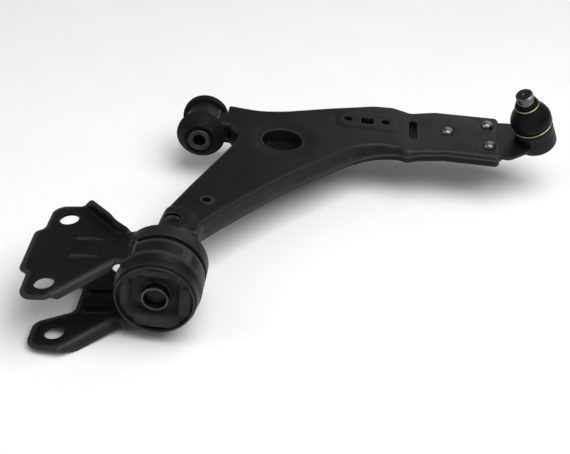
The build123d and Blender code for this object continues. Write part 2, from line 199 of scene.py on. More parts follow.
def make_object(name, verts, faces, body, material, smooth=35.0):
    """A mesh object in metres from millimetre points, riding on a body."""
    mesh = bpy.data.meshes.new(name)
    mesh.from_pydata([tuple(Vector(v) * MM) for v in verts], [], faces)
    work = bmesh.new()
    work.from_mesh(mesh)
    bmesh.ops.remove_doubles(work, verts=work.verts, dist=0.00001)
    bmesh.ops.dissolve_degenerate(work, edges=work.edges, dist=0.000005)
    bmesh.ops.recalc_face_normals(work, faces=work.faces)
    work.to_mesh(mesh)
    work.free()
    mesh.polygons.foreach_set("use_smooth", [True] * len(mesh.polygons))
    mesh.set_sharp_from_angle(angle=radians(smooth))
    mesh.materials.append(material)
    piece = bpy.data.objects.new(name, mesh)
    bpy.context.scene.collection.objects.link(piece)
    if body:
        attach(piece, body)
    return piece


def lathe(name, profile, place, body, material, segments=96, ripple=None, smooth=35.0):
    """Revolve a closed (radius, height) profile about a placed frame's Z axis."""
    verts, faces = [], []
    count = len(profile)
    for k in range(segments):
        angle = 2 * pi * k / segments
        for r, h in profile:
            lift = ripple(angle, r, h) if ripple else 0.0
            verts.append(place @ Vector((r * cos(angle), r * sin(angle), h + lift)))
    for k in range(segments):
        a, b = k * count, (k + 1) % segments * count
        for i in range(count):
            j = (i + 1) % count
            faces.append((a + i, a + j, b + j, b + i))
    return make_object(name, verts, faces, body, material, smooth)


def rounded_profile(corners, arc_step=20.0):
    """A lathe profile from (radius, height, fillet) corners."""
    return [tuple(p) for p in rounded(corners, arc_step=arc_step)]


def pressed(name, outline, holes, spacing, edge, place, body, material, rings=3, smooth=35.0):
    """A closed sheet or slab over a plan outline.

    place(x, y, depth, from_top) gives the point over plan (x, y), where depth is
    the distance from the nearest edge and from_top is True on the upper face.
    """
    loops = [outline, *holes]
    arcs = [edge * (1 - cos(radians(a))) for a in (14, 30, 46, 62, 78, 90)] if edge else []
    free = []
    for loop, sign in [(outline, 1), *((hole, -1) for hole in holes)]:
        for step in arcs:
            ring = np.array([tuple(p) for p in moved(loop, sign * step)])
            near = np.min([segment_distance(ring, other) for other in loops], axis=0)
            free += [p for p, gap in zip(ring, near) if gap > step * 0.96]
    xs = [p.x for p in outline]
    ys = [p.y for p in outline]
    grid = []
    row = 0
    y = min(ys) + spacing / 2
    while y < max(ys):
        x = min(xs) + spacing * (0.25 if row % 2 else 0.75)
        while x < max(xs):
            grid.append((x, y))
            x += spacing
        y += spacing * 0.87
        row += 1
    grid = np.array(grid)
    keep = inside(grid, outline)
    for hole in holes:
        keep &= ~inside(grid, hole)
    grid = grid[keep]
    gap = np.min([segment_distance(grid, loop) for loop in loops], axis=0)
    grid = grid[gap > edge + 0.55 * spacing]
    flat, edges, fixed = [], [], []
    for loop in loops:
        start = len(flat)
        flat += [Vector(p) for p in loop]
        fixed.append(range(start, len(flat)))
        edges += [(start + i, start + (i + 1) % len(loop)) for i in range(len(loop))]
    flat += [Vector(p) for p in free] + [Vector(p) for p in grid]
    points, _, triangles = geometry.delaunay_2d_cdt(flat, edges, [], 0, 1e-4)[:3]
    plan = np.array([tuple(p) for p in points])
    centres = np.array([plan[list(t)].mean(0) for t in triangles])
    keep = inside(centres, outline)
    for hole in holes:
        keep &= ~inside(centres, hole)
    triangles = [t for t, kept in zip(triangles, keep) if kept]
    depth = np.min([segment_distance(plan, loop) for loop in loops], axis=0)
    verts = [place(x, y, d, True) for (x, y), d in zip(plan, depth)]
    base = len(verts)
    verts += [place(x, y, d, False) for (x, y), d in zip(plan, depth)]
    faces = [tuple(t) for t in triangles]
    faces += [tuple(base + i for i in reversed(t)) for t in triangles]
    used = {}
    for t in triangles:
        for i in range(3):
            edge_key = frozenset((t[i], t[(i + 1) % 3]))
            used[edge_key] = used.get(edge_key, 0) + 1
    columns = {}
    rim = [tuple(key) for key, times in used.items() if times == 1]
    for i in {i for pair in rim for i in pair}:
        top, low = Vector(verts[i]), Vector(verts[base + i])
        columns[i] = [i]
        for k in range(1, rings):
            verts.append(top.lerp(low, k / rings))
            columns[i].append(len(verts) - 1)
        columns[i].append(base + i)
    for i, j in rim:
        for k in range(rings):
            faces.append((columns[i][k], columns[j][k], columns[j][k + 1], columns[i][k + 1]))
    return make_object(name, verts, faces, body, material, smooth)


def tube(name, path, radius, body, material, closed=False, ripple=0.0, sides=10, flat=1.0):
    """A round bead or wire along a path, with optional weld ripples."""
    verts, faces = [], []
    count = len(path)
    for i, p in enumerate(path):
        before = path[i - 1] if closed or i else path[0]
        after = path[(i + 1) % count] if closed or i < count - 1 else path[-1]
        along = (after - before).normalized()
        side = along.cross(Vector((0.13, 0.31, 0.94))).normalized()
        up = side.cross(along)
        size = radius * (1 + ripple * sin(i * 2.1) + 0.5 * ripple * sin(i * 0.73))
        if not closed and i in (0, count - 1):
            size *= 0.35
        verts += [p + (side * cos(2 * pi * k / sides) + up * sin(2 * pi * k / sides) * flat) * size
                  for k in range(sides)]
    for i in range(count if closed else count - 1):
        a, b = i * sides, (i + 1) % count * sides
        faces += [(a + k, a + (k + 1) % sides, b + (k + 1) % sides, b + k) for k in range(sides)]
    if not closed:
        faces += [tuple(range(sides)), tuple((count - 1) * sides + k for k in reversed(range(sides)))]
    return make_object(name, verts, faces, body, material, 60.0)


def ease(value, low, high):
    """Smooth 0 to 1 as value goes from low to high."""
    t = min(1.0, max(0.0, (value - low) / (high - low)))
    return t * t * (3 - 2 * t)


def corner_drop(depth, radius):
    """How far a rounded edge has dropped at a depth from the edge."""
    if depth >= radius:
        return 0.0
    return radius - sqrt(max(0.0, radius**2 - (radius - depth) ** 2))


def box_distance(x, y, centre, size, radius):
    """Signed distance from a rounded rectangle, negative inside."""
    dx = abs(x - centre[0]) - size[0] / 2 + radius
    dy = abs(y - centre[1]) - size[1] / 2 + radius
    return math.hypot(max(dx, 0), max(dy, 0)) + min(max(dx, dy), 0) - radius


def capsule_distance(x, y, start, end, radius):
    """Signed distance from a straight rib with round ends."""
    ax, ay = x - start[0], y - start[1]
    bx, by = end[0] - start[0], end[1] - start[1]
    t = min(1.0, max(0.0, (ax * bx + ay * by) / (bx * bx + by * by)))
    return math.hypot(ax - t * bx, ay - t * by) - radius


# ---- materials -------------------------------------------------------------


class Surface:
    """A small builder of a procedural material round one Principled shader."""

    def __init__(self, name, color, roughness, metallic=0.0, specular=0.5, coat=0.0, coat_rough=0.2):
        self.material = bpy.data.materials.new(name)
        self.material.use_nodes = True
        tree = self.material.node_tree
        self.nodes, self.links = tree.nodes, tree.links
        self.shader = self.nodes["Principled BSDF"]
        self.shader.inputs["Base Color"].default_value = (*color, 1)
        self.shader.inputs["Roughness"].default_value = roughness
        self.shader.inputs["Metallic"].default_value = metallic
        self.shader.inputs["Specular IOR Level"].default_value = specular
        self.shader.inputs["Coat Weight"].default_value = coat
        self.shader.inputs["Coat Roughness"].default_value = coat_rough
        self.place = self.nodes.new("ShaderNodeTexCoord").outputs["Object"]
        self.normal = None

    def noise(self, scale, detail=4.0, rough=0.55, stretch=None):
        """A noise field in object space, with scale in cycles per metre."""
        source = self.place
        if stretch:
            mapping = self.nodes.new("ShaderNodeMapping")
            mapping.inputs["Scale"].default_value = stretch
            self.links.new(self.place, mapping.inputs["Vector"])
            source = mapping.outputs["Vector"]
        made = self.nodes.new("ShaderNodeTexNoise")
        made.inputs["Scale"].default_value = scale
        made.inputs["Detail"].default_value = detail
        made.inputs["Roughness"].default_value = rough
        self.links.new(source, made.inputs["Vector"])
        return made.outputs["Fac"]

    def ramp(self, source, stops):
        """A colour ramp over a field: stops are (position, rgb or grey)."""
        made = self.nodes.new("ShaderNodeValToRGB")
        ramp = made.color_ramp
        while len(ramp.elements) < len(stops):
            ramp.elements.new(0.5)
        for element, (position, value) in zip(ramp.elements, stops):
            element.position = position
            rgb = value if isinstance(value, tuple) else (value,) * 3
            element.color = (*rgb, 1)
        self.links.new(source, made.inputs["Fac"])
        return made.outputs["Color"]

    def wear(self, spread=0.01):
        """High on sharp convex edges, from the pointiness of the mesh."""
        made = self.nodes.new("ShaderNodeNewGeometry")
        return self.ramp(made.outputs["Pointiness"], [(0.5 + spread * 0.5, 0.0), (0.5 + spread * 3, 1.0)])

    def mix(self, factor, a, b):
        """Mix two colours or fields by a factor; a or b may be plain values."""
        made = self.nodes.new("ShaderNodeMix")
        made.data_type = "RGBA"
        for socket, value in (("A_Color", a), ("B_Color", b)):
            target = next(i for i in made.inputs if i.identifier == socket)
            if isinstance(value, bpy.types.NodeSocket):
                self.links.new(value, target)
            else:
                target.default_value = (*value, 1)
        self.links.new(factor, next(i for i in made.inputs if i.identifier == "Factor_Float"))
        return next(o for o in made.outputs if o.identifier == "Result_Color")

    def bump(self, source, height, strength=1.0):
        """Stack a bump of a real height, in millimetres, on the normal."""
        made = self.nodes.new("ShaderNodeBump")
        made.inputs["Distance"].default_value = height * MM
        made.inputs["Strength"].default_value = strength
        self.links.new(source, made.inputs["Height"])
        if self.normal:
            self.links.new(self.normal, made.inputs["Normal"])
        self.normal = made.outputs["Normal"]

    def to(self, socket, source):
        """Link a field to one of the shader's sockets."""
        self.links.new(source, self.shader.inputs[socket])

    def done(self):
        """The finished material."""
        if self.normal:
            self.links.new(self.normal, self.shader.inputs["Normal"])
        return self.material


def coated(name, dark, light, rough, peel, wear=0.5):
    """Black electro-dip coat: slight orange peel, soft cloudy sheen, thin worn edges."""
    s = Surface(name, dark, rough[0], specular=0.115, coat=0.03, coat_rough=0.2)
    cloud = s.noise(14, 5, 0.6)
    fine = s.noise(420, 3, 0.5)
    colour = s.ramp(cloud, [(0.3, dark), (0.72, light)])
    edge = s.wear(0.012)
    worn = s.mix(edge, colour, tuple(min(1, c * (2 + 3 * wear)) for c in light))
    s.to("Base Color", worn)
    s.to("Roughness", s.ramp(s.noise(38, 6, 0.65), [(0.28, rough[0]), (0.74, rough[1])]))
    s.bump(cloud, 0.35)
    s.bump(fine, peel)
    return s.done()


def rubber(name, dark, light, rough, grain):
    """Moulded rubber: matt, with a bloom and a fine grain."""
    s = Surface(name, dark, rough[0], specular=0.1)
    cloud = s.noise(60, 6, 0.6)
    s.to("Base Color", s.ramp(cloud, [(0.3, dark), (0.75, light)]))
    s.to("Roughness", s.ramp(s.noise(180, 4, 0.6), [(0.3, rough[0]), (0.7, rough[1])]))
    s.bump(s.noise(900, 3, 0.6), grain)
    s.bump(s.noise(90, 3, 0.5), 0.15)
    return s.done()


def steel(name, dark, light, rough, lines, stretch):
    """Bare or plated steel with fine turning lines and a thin film of oil."""
    s = Surface(name, light, rough[0], metallic=1.0)
    stain = s.noise(70, 6, 0.65)
    s.to("Base Color", s.ramp(stain, [(0.3, dark), (0.65, light)]))
    s.to("Roughness", s.ramp(s.noise(240, 4, 0.6), [(0.3, rough[0]), (0.7, rough[1])]))
    s.bump(s.noise(1, 2, 0.5, stretch), lines)
    s.bump(s.noise(500, 3, 0.6), 0.02)
    return s.done()


def plastic(name, dark, light):
    """Moulded acetal."""
    s = Surface(name, dark, 0.4)
    s.to("Base Color", s.ramp(s.noise(45, 4, 0.5), [(0.3, dark), (0.7, light)]))
    s.to("Roughness", s.ramp(s.noise(200, 4, 0.5), [(0.3, 0.36), (0.7, 0.5)]))
    s.bump(s.noise(600, 2, 0.5), 0.02)
    return s.done()


def floor_paper(name):
    """Plain pale paper."""
    s = Surface(name, (0.83, 0.83, 0.83), 0.9, specular=0.2)
    s.to("Base Color", s.ramp(s.noise(7, 3, 0.5), [(0.3, 0.82), (0.7, 0.84)]))
    s.bump(s.noise(300, 2, 0.5), 0.02)
    return s.done()


sheet_coat = coated("sheet_coat", (0.0040, 0.0041, 0.0043), (0.0075, 0.0077, 0.008), (0.34, 0.5), 0.05)
bracket_coat = coated("bracket_coat", (0.0035, 0.0036, 0.0038), (0.0065, 0.0067, 0.007), (0.36, 0.52), 0.06)
forged_coat = coated("forged_coat", (0.0045, 0.0045, 0.0046), (0.0085, 0.0085, 0.0087), (0.4, 0.58), 0.12)
weld_coat = coated("weld_coat", (0.005, 0.005, 0.005), (0.011, 0.011, 0.011), (0.36, 0.6), 0.15)
bush_rubber = rubber("bush_rubber", (0.0035, 0.0035, 0.0035), (0.0085, 0.0085, 0.0085), (0.55, 0.8), 0.05)
# A lighter copy of the bush rubber for the rear bush's face: painted light, standing in for the light that
# falls on that face.
painted_light_face_rubber = rubber("painted_light_face_rubber", (0.022, 0.022, 0.022), (0.045, 0.045, 0.045), (0.55, 0.8), 0.06)
boot_rubber = rubber("boot_rubber", (0.003, 0.003, 0.0033), (0.0055, 0.0055, 0.006), (0.38, 0.55), 0.02)
turned_steel = steel("turned_steel", (0.03, 0.03, 0.031), (0.08, 0.08, 0.081), (0.3, 0.5), 0.02,
                     (30, 1500, 30))
rim_steel = steel("rim_steel", (0.02, 0.02, 0.02), (0.06, 0.06, 0.06), (0.3, 0.5), 0.01, (40, 900, 40))
pin_steel = steel("pin_steel", (0.10, 0.10, 0.10), (0.24, 0.24, 0.245), (0.28, 0.46), 0.02, (40, 40, 1400))
rivet_steel = steel("rivet_steel", (0.09, 0.093, 0.097), (0.22, 0.226, 0.235), (0.25, 0.45), 0.02,
                    (300, 300, 300))
ring_wire = steel("ring_wire", (0.2, 0.165, 0.08), (0.42, 0.36, 0.2), (0.25, 0.4), 0.01, (400, 400, 400))
seat_plastic = plastic("seat_plastic", (0.62, 0.6, 0.55), (0.72, 0.7, 0.65))

# ---- arm -------------------------------------------------------------------

arm_top, nose_bottom, seam_low, nose_seam, arm_bottom = 15.0, -3.0, -7.0, 7.8, -14.0
ramp_start, ramp_end = 190.0, 262.0
arm_edge = 5.0
hole_spot, hole_r, lower_hole_r = (98.9, -34.9), 23.8, 10.0
small_hole, small_hole_r = (28.5, -182.5), 4.6
pad_spot, pad_size = (198.5, 31.0), (72.0, 38.0)
plug_spot, plug_r = (-2.0, -225.0), 9.5
rivet_spots = [(297.8, 30.5), (348.2, 57.5), (349.0, 8.0)]
rivet_r = 4.0
arm_corners = [
    (14, 15.5, 0), (25.5, 15.5, 1), (25.5, 32.5, 4), (66, 28, 60), (95, 34, 80), (150, 55, 150),
    (206, 74, 40), (230, 75.5, 14), (252, 67, 12), (282, 77.5, 30), (364, 80.5, 6), (360, 31, 60),
    (365, -15.5, 8), (295, -16.5, 20), (271, -22, 14), (249, -28.5, 10), (240, -21.5, 8),
    (216, -19.5, 30), (190, -29, 40), (112, -112, 300), (47, -200, 200), (30, -226, 20),
    (29, -246, 5), (-17, -246, 5), (-14, -210, 60), (6, -152, 100), (28, -94, 100), (44, -50, 40),
    (46, -33, 8), (36, -21, 6), (33, -15.5, 2), (14, -15.5, 0),
]
arm_outline = dense(rounded(arm_corners), 3.0)[::-1]
arm_holes = [  # outline, distance from its edge, radius of its mouth
    (circle(*hole_spot, hole_r, 72), lambda x, y: math.dist((x, y), hole_spot) - hole_r, 1.5),
    (circle(*small_hole, small_hole_r, 24), lambda x, y: math.dist((x, y), small_hole) - small_hole_r, 1.2),
    (circle(175, 31.5, 5.3, 24), lambda x, y: math.dist((x, y), (175, 31.5)) - 5.3, 0.8),
    (circle(221, 32.5, 5.3, 24), lambda x, y: math.dist((x, y), (221, 32.5)) - 5.3, 0.8),
    (dense(rounded([(190.5, 24, 2.5), (206.5, 24, 2.5), (206.5, 39, 2.5), (190.5, 39, 2.5)]), 3),
     lambda x, y: box_distance(x, y, (198.5, 31.5), (16, 15), 2.5), 0.8),
    (dense(slot_outline(255.3, 24.5, 42, 10), 3),
     lambda x, y: capsule_distance(x, y, (255.3, 8.5), (255.3, 40.5), 5), 0.8),
    (circle(*plug_spot, plug_r, 36), lambda x, y: math.dist((x, y), plug_spot) - plug_r, 1.0),
]


def on_ramp(x, before, after):
    """A level that steps from the deep box to the thin nose."""
    t = min(1.0, max(0.0, (x - ramp_start) / (ramp_end - ramp_start)))
    return before + (after - before) * t


def arm_surface(x, y, depth):
    """The pressed top of the arm over plan (x, y)."""
    z = arm_top - 0.5 * (1 - ease(depth, arm_edge, 22))
    z += 1.0 * (1 - ease(box_distance(x, y, pad_spot, pad_size, 10), -1.6, 1.6))
    z += 1.4 * (1 - ease(math.dist((x, y), small_hole), 6.5, 9.5))
    z -= 0.8 * (1 - ease(math.dist((x, y), hole_spot), hole_r + 4, hole_r + 16))
    z += 1.7 * (1 - ease(math.dist((x, y), plug_spot), 21, 25.5))
    z -= 0.7 * ease(x, 238, 258)
    for spot in rivet_spots:
        z -= 0.7 * (1 - ease(math.dist((x, y), spot), 8.5, 12))
    gap, mouth = min((distance(x, y), mouth) for _, distance, mouth in arm_holes)
    return z - corner_drop(depth, mouth if gap <= depth + 0.3 else arm_edge)


def beside_rim(x, y, z):
    """Hold the arm's end clear of the far rim of the front bush."""
    clear = 29.2
    push = sqrt(max(0.0, clear**2 - z**2)) - 25.5
    if push > 0 and 25 < x < 45:
        x += push * (1 - (x - 25.5) / 19.5) * ease(y, 12, 15.5)
    return Vector((x, y, z))


def place_upper(x, y, depth, from_top):
    return beside_rim(x, y, arm_surface(x, y, depth) if from_top else on_ramp(x, seam_low, nose_seam))


def place_lower(x, y, depth, from_top):
    if from_top:
        return beside_rim(x, y, on_ramp(x, seam_low, nose_seam))
    return beside_rim(x, y, on_ramp(x, arm_bottom, nose_bottom) + corner_drop(depth, 2.5))


arm_upper = pressed("arm_upper_pressing", arm_outline, [hole[0] for hole in arm_holes], 4.0, arm_edge,
                    place_upper, "arm", sheet_coat, rings=4)
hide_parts("arm_upper_shell")

lower_outline = dense(moved(arm_outline, 1.8), 3.0)
arm_lower = pressed("arm_lower_pressing", lower_outline, [circle(*hole_spot, lower_hole_r, 40)], 6.0, 2.5,
                    place_lower, "arm", sheet_coat)
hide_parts("arm_lower_shell")

lip_path = [beside_rim(p.x, p.y, on_ramp(p.x, seam_low, nose_seam) - 0.4)
            for p in dense(moved(arm_outline, 0.7), 4) if not (p.x < 24 and abs(p.y) < 17)]
first = next(i for i, p in enumerate(lip_path) if (p - lip_path[i - 1]).length > 12)
seam_bead = tube("seam_bead", lip_path[first:] + lip_path[:first], 1.3, "arm", weld_coat, ripple=0.05)
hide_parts("seam_weld")



def puddle(angle, r, h):
    """The set ripples of the plug weld's face."""
    return 0.5 * sin(7 * angle) * sin(r) if 1 < r < 9 and h > 5 else 0.0


plug_profile = [(0, 8.6), (2.6, 8.2), (4.6, 7.2), (6.4, 7.6), (8, 9.6), (9.6, 12.6), (9.6, 4), (0, 4)]
plug = lathe("plug_weld", plug_profile, frame_at((*plug_spot, 0), (1, 0, 0), (0, 0, 1)), "arm",
             weld_coat, segments=72, ripple=puddle)

# ---- front bush ------------------------------------------------------------

front_half, front_sleeve_r, front_bolt_r, eye_r = 37.5, 13.6, 7.5, 23.0

eye = lathe("front_eye", rounded_profile([
    (20.5, -16, 0.4), (22.4, -16, 0.8), (eye_r, -13.5, 1), (eye_r, 13.5, 1), (22.4, 16, 0.8),
    (20.5, 16, 0.4)]), pivot, "arm", sheet_coat)
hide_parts("front_eye_tube")

half_rubber = [
    (13.7, -34.4, 0.3), (17.2, -34.2, 0.5), (17.7, -36.0, 0.4), (18.8, -36.0, 0.8), (27.6, -25.6, 1.4),
    (29.3, -24, 1.2), (29.4, -21.2, 0.8), (28.3, -20.4, 0.5), (29.1, -19.2, 0.8), (28.9, -17.4, 1),
    (27, -16.2, 0.8), (23.6, -16.2, 0.5), (23.4, -15.9, 0.1), (19.2, -15.9, 0.2),
]
far_rim_r = 28
far_rubber = [(min(r, far_rim_r - 0.1 * abs(h + 20)), -h, f) for r, h, f in reversed(half_rubber)]


def moulded(angle, r, h):
    """Two raised marks in the ring beside the sleeve, at each end."""
    return 0.9 * max(0, cos(2 * angle + 0.6)) ** 10 * (-1 if h < 0 else 1) if r < 17.4 else 0.0



front_rubber = lathe("front_bush_moulding", rounded_profile(half_rubber + far_rubber), pivot, "arm",
                     bush_rubber, ripple=moulded)
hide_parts("front_bush_rubber")


def serrated(angle, r, h):
    """Radial teeth in the sleeve's end faces."""
    if abs(h) < front_half - 0.9 or not front_bolt_r + 0.5 < r < front_sleeve_r - 0.4:
        return 0.0
    return -0.55 * math.copysign(1, h) * max(0.0, cos(24 * angle))


sleeve_ends = [
    (front_bolt_r, -front_half + 0.8, 0.1), (front_bolt_r + 0.7, -front_half, 0.2), (10.5, -front_half, 0),
    (front_sleeve_r - 0.7, -front_half, 0.2), (front_sleeve_r, -front_half + 0.8, 0.3),
]
front_sleeve = lathe(
    "front_sleeve", rounded_profile(sleeve_ends + [(r, -h, f) for r, h, f in reversed(sleeve_ends)]), pivot,
    "front_pivot", turned_steel, segments=240, ripple=serrated, smooth=25.0)
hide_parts("front_bush_sleeve")

for side in (-1, 1):
    path = [Vector((17.2 + 0.5 * sin(k), side * 0.4 * k, 15.6 - 0.02 * k)) for k in range(0, 34)]
    bead = tube(f"eye_bead_{'near' if side < 0 else 'far'}", path, 2.2, "arm", weld_coat, ripple=0.1)
    if side < 0:
        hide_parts("eye_weld")

# ---- rear bush -------------------------------------------------------------

rear_low, rear_high = node_box("rear_bush_shell")
rear_face, rear_end = rear_low.y, rear_high.y
rear_r, rear_wall = 41.0, 2.2
rear_sleeve_r, rear_sleeve_bore = 14.2, 11.6
rear_front = frame_at((0, rear_face, 0), (1, 0, 0), (0, -1, 0))

shell = lathe("rear_shell", rounded_profile([
    (rear_r - rear_wall, rear_face, 0.7), (rear_r, rear_face, 0.9), (rear_r, rear_end, 0.7),
    (rear_r - rear_wall, rear_end, 0.7)]), pivot, "rear_bracket", sheet_coat, segments=144)
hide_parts("rear_bush_shell")
rim = lathe("rear_rim", [(39.9 + 0.75 * cos(a), rear_face + 0.35 + 0.55 * sin(a))
                         for a in (2 * pi * k / 10 for k in range(10))],
            pivot, "rear_bracket", rim_steel, segments=144)

rear_pads = [  # centre, size, height from the bush's face
    ((-5, 31.5), (38, 7.5), -2.6), ((-32, 0), (6.5, 26), -2.8), ((30.5, -1), (12, 33), -2.4),
    ((2, -31), (46, 10), -2.2), ((-24, 25), (12, 9), -3.4), ((25, 26), (10, 9), -3.2),
    ((-25, -25), (10, 8), -3.6),
]


def rear_face_height(x, y):
    """The moulded face of the rear bush: a deep window with raised pads round it."""
    h = -5.2 - 0.5 * sin(0.35 * x) * sin(0.3 * y)
    h -= 9.5 * (1 - ease(box_distance(x, y, (-2, 1), (51, 46), 7), -2.5, 1.5))
    for centre, size, level in rear_pads:
        t = 1 - ease(box_distance(x, y, centre, size, 3), -0.8, 1.6)
        h += (level - h) * t
    h += 5.0 * (1 - ease(math.hypot(x, y), rear_sleeve_r + 0.5, rear_sleeve_r + 3.5))
    return h


def place_rear(x, y, depth, from_top):
    h = rear_face_height(x, y) - corner_drop(depth, 0.8) if from_top else rear_face - rear_end + 3
    return rear_front @ Vector((x, y, h))


# The rear bush's face takes the lighter copy of the bush rubber, which is painted light.
rear_rubber = pressed("rear_bush_moulding", circle(0, 0, rear_r - rear_wall - 0.05, 110),
                      [circle(0, 0, rear_sleeve_r + 0.1, 60)], 1.7, 0.8, place_rear, "rear_bracket",
                      painted_light_face_rubber)
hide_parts("rear_bush_rubber")

rear_sleeve = lathe("rear_sleeve", rounded_profile([
    (rear_sleeve_bore, rear_face + 2, 0.6), (rear_sleeve_r, rear_face + 2, 0.7),
    (rear_sleeve_r, rear_end + 6, 0.5), (rear_sleeve_bore, rear_end + 6, 0.4)]), pivot, "arm", turned_steel)
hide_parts("rear_bush_sleeve")

spigot = lathe("rear_spigot_pin", rounded_profile([
    (0, rear_face + 9, 0), (9.9, rear_face + 9, 1), (11.5, rear_face + 11.5, 0.5), (11.5, rear_end + 6, 0.3),
    (16.2, rear_end + 6, 0.8), (16.2, -248, 0.8), (14.2, -246.1, 0.3), (9.8, -246.1, 0.5), (9.8, -208, 1),
    (7.8, -206, 0.5), (0, -206, 0)]), pivot, "arm", sheet_coat)
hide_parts("rear_spigot")

collar = lathe("rear_collar_ring", rounded_profile([
    (rear_r, -297.2, 0.2), (44.2, -297.2, 0.8), (45.2, -296, 0.8), (45.2, -280.2, 1.2), (43.9, -278.3, 1),
    (rear_r, -278.3, 0.2)]), pivot, "rear_bracket", bracket_coat, segments=144)
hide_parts("rear_collar")

band = lathe("bracket_sleeve_tube", rounded_profile([
    (rear_r, rear_face + 4, 0.2), (42.4, rear_face + 4, 0.9), (42.9, rear_face + 13, 4), (44.6, -329.6, 1.5),
    (44.9, -328.4, 0.4), (42.2, -328.2, 0.2), (42.2, -304.2, 0.2), (rear_r, -304.2, 0.2)]),
    pivot, "rear_bracket", bracket_coat, segments=144)
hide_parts("bracket_tube")

for name, start, end, radius in (("rear_lip_seal", rear_face + 1.2, rear_face + 4.1, 41.25),
                                 ("collar_seal", -304.4, -297.1, 41.6)):
    seal = lathe(name, [(40.9, start), (radius, start), (radius, end), (40.9, end)], pivot, "rear_bracket",
                 bush_rubber, segments=144)

# ---- bracket ---------------------------------------------------------------

sheet_t, outer_level, strap_r, bend_r = 3.0, 33.0, 45.2, 9.0
fillet_x = -sqrt((strap_r + bend_r) ** 2 - (outer_level + bend_r) ** 2)
tangent_angle = math.atan2(outer_level + bend_r, fillet_x)
fillet_turn = pi / 2 - (pi - tangent_angle)
fillet_length = bend_r * fillet_turn
strap_end = {1: fillet_length + strap_r * (tangent_angle - radians(46)),
             -1: fillet_length + strap_r * (tangent_angle + radians(45))}
strap_edges = (-20.5, 4.0)
flange_r = 2.5
flange_start = -(flange_r + sheet_t)
flange_arc = (flange_r + sheet_t / 2) * pi / 2
bolt_x, bolt_v, bolt_r = -103.5 - fillet_x, 55.0, 10.2
flange_height = {(1, True): 16.0, (-1, True): 10.5, (1, False): 6.3, (-1, False): 6.3}
rib_places = {1: (-73.0, (17.5, -12.5)), -1: (-67.0, (11.5, -17.0))}


def fold_line(start, end):
    """Where one edge of a plate folds: its start, direction, outward normal and length."""
    a, b = Vector((start[0] - fillet_x, start[1])), Vector((end[0] - fillet_x, end[1]))
    way = (b - a).normalized()
    return a, way, Vector((way.y, -way.x)), (b - a).length


tall_fold = fold_line((-45, 33), (-91, 80.5))
short_fold = fold_line((-40, 20.5), (-93, 77.5))
plate_ends = {
    1: [(-97, 79.8, 4), (-124.5, 79.5, 16), (-125.5, 38.5, 9), (-135, 33, 8)],
    -1: [(-97, 80.2, 4), (-128.5, 80, 22), (-128.5, 39, 14), (-90, 20.6, 9)],
}


def sheet_outline(side):
    """The flat sheet of one bracket plate, with its strap and both flanges."""
    runs = []
    for edge, strap_edge in zip((-1, 1), strap_edges):
        tall = edge == side
        start, way, out, length = tall_fold if tall else short_fold
        reach = flange_start + flange_arc + flange_height[side, tall] - flange_r
        run = [(strap_end[side], abs(strap_edge), 0.5)]
        if tall:
            run += [(6.5, abs(strap_edge), 1), (6.5, 31.5, 2), (1.0, 33, 2), (-2.0, 37.2, 1.5)]
            along = [(15, reach, 7), (length - 16, reach, 12), (length - 1, -0.5, 5)]
        else:
            if edge > 0:
                run += [(6.5, abs(strap_edge), 1), (6.5, 20.5, 2)]
            run += [(-4, 20.5, 3)]
            along = [(1, 0, 2), (5, reach, 3), (length - 9, reach, 5), (length - 3, -0.3, 4)]
        for a, q, r in along:
            p = start + way * a + out * q
            run.append((p.x, p.y, r))
        run += [(x - fillet_x, v, r) for x, v, r in plate_ends[side]]
        runs.append([(x, v * edge if i or edge < 0 else strap_edge, r) for i, (x, v, r) in enumerate(run)])
    lower, upper = runs
    return dense(rounded(lower + upper[::-1]), 2.6)


def along_strap(s, offset):
    """Where the bent sheet lies: (x, z) at flat length s and offset out of its outer face."""
    if s <= 0:
        return fillet_x + s, outer_level + offset
    if s <= fillet_length:
        a = -pi / 2 + s / bend_r
        r = bend_r - offset
        return fillet_x + r * cos(a), outer_level + bend_r + r * sin(a)
    a = tangent_angle - (s - fillet_length) / strap_r
    return (strap_r + offset) * cos(a), (strap_r + offset) * sin(a)


def place_bracket(side):
    """The bending of one bracket plate: flat sheet to placed point."""
    rib_x, rib_stations = rib_places[side]
    ribs = [((rib_x - 12 - fillet_x, w), (rib_x + 12 - fillet_x, w)) for w in rib_stations]

    def place(x, v, depth, from_top):
        offset = -corner_drop(depth, 0.7) if from_top else -sheet_t + corner_drop(depth, 0.5)
        if from_top or depth > 1:
            rib = min(capsule_distance(x, v, a, b, 3.6) for a, b in ribs)
            fade = ease(x, rib_x - 4 - fillet_x, rib_x + 18 - fillet_x) if side > 0 else 0.0
            offset += 2.3 * (1 - ease(rib, -1.9, 1.2)) * (1 - 0.6 * fade)
            offset += 0.5 * (1 - ease(math.dist((x, abs(v)), (bolt_x, bolt_v)), 15.5, 18))
        px, pz = along_strap(x, offset)
        pv = v
        edge = 1 if v > 0 else -1
        tall = edge == side
        start, way, out, length = tall_fold if tall else short_fold
        rel = Vector((x, abs(v))) - start
        a, q = rel.dot(way), rel.dot(out) - flange_start
        weight = 1 - ease(a, length, length + 10) if tall else 1 - ease(a, length - 4, length + 4)
        if tall:  # the fold goes on along the level edge by the hoop
            turned = ease(a, -7, 7)
            q = (abs(v) - start.y - flange_start) * (1 - turned) + q * turned
            out = (Vector((0, 1)) * (1 - turned) + out * turned).normalized()
            weight *= 1 - ease(x, -2.5, 2.5)
        else:
            weight *= ease(a, -5, 1.5)
        if q > 0 and weight > 0:
            turn = min(q / (flange_r + sheet_t / 2), pi / 2)
            rest = max(0.0, q - flange_arc)
            r = flange_r - offset if tall else flange_r + sheet_t + offset
            run = r * sin(turn)
            high = flange_r - r * cos(turn) + rest if tall else r * cos(turn) - flange_r - sheet_t - rest
            back = out * (q - run) * weight
            px -= back.x
            pv -= back.y * edge
            pz += (outer_level + high - pz) * weight
        return bracket_frame @ Vector((px, pv, pz * side))
    return place


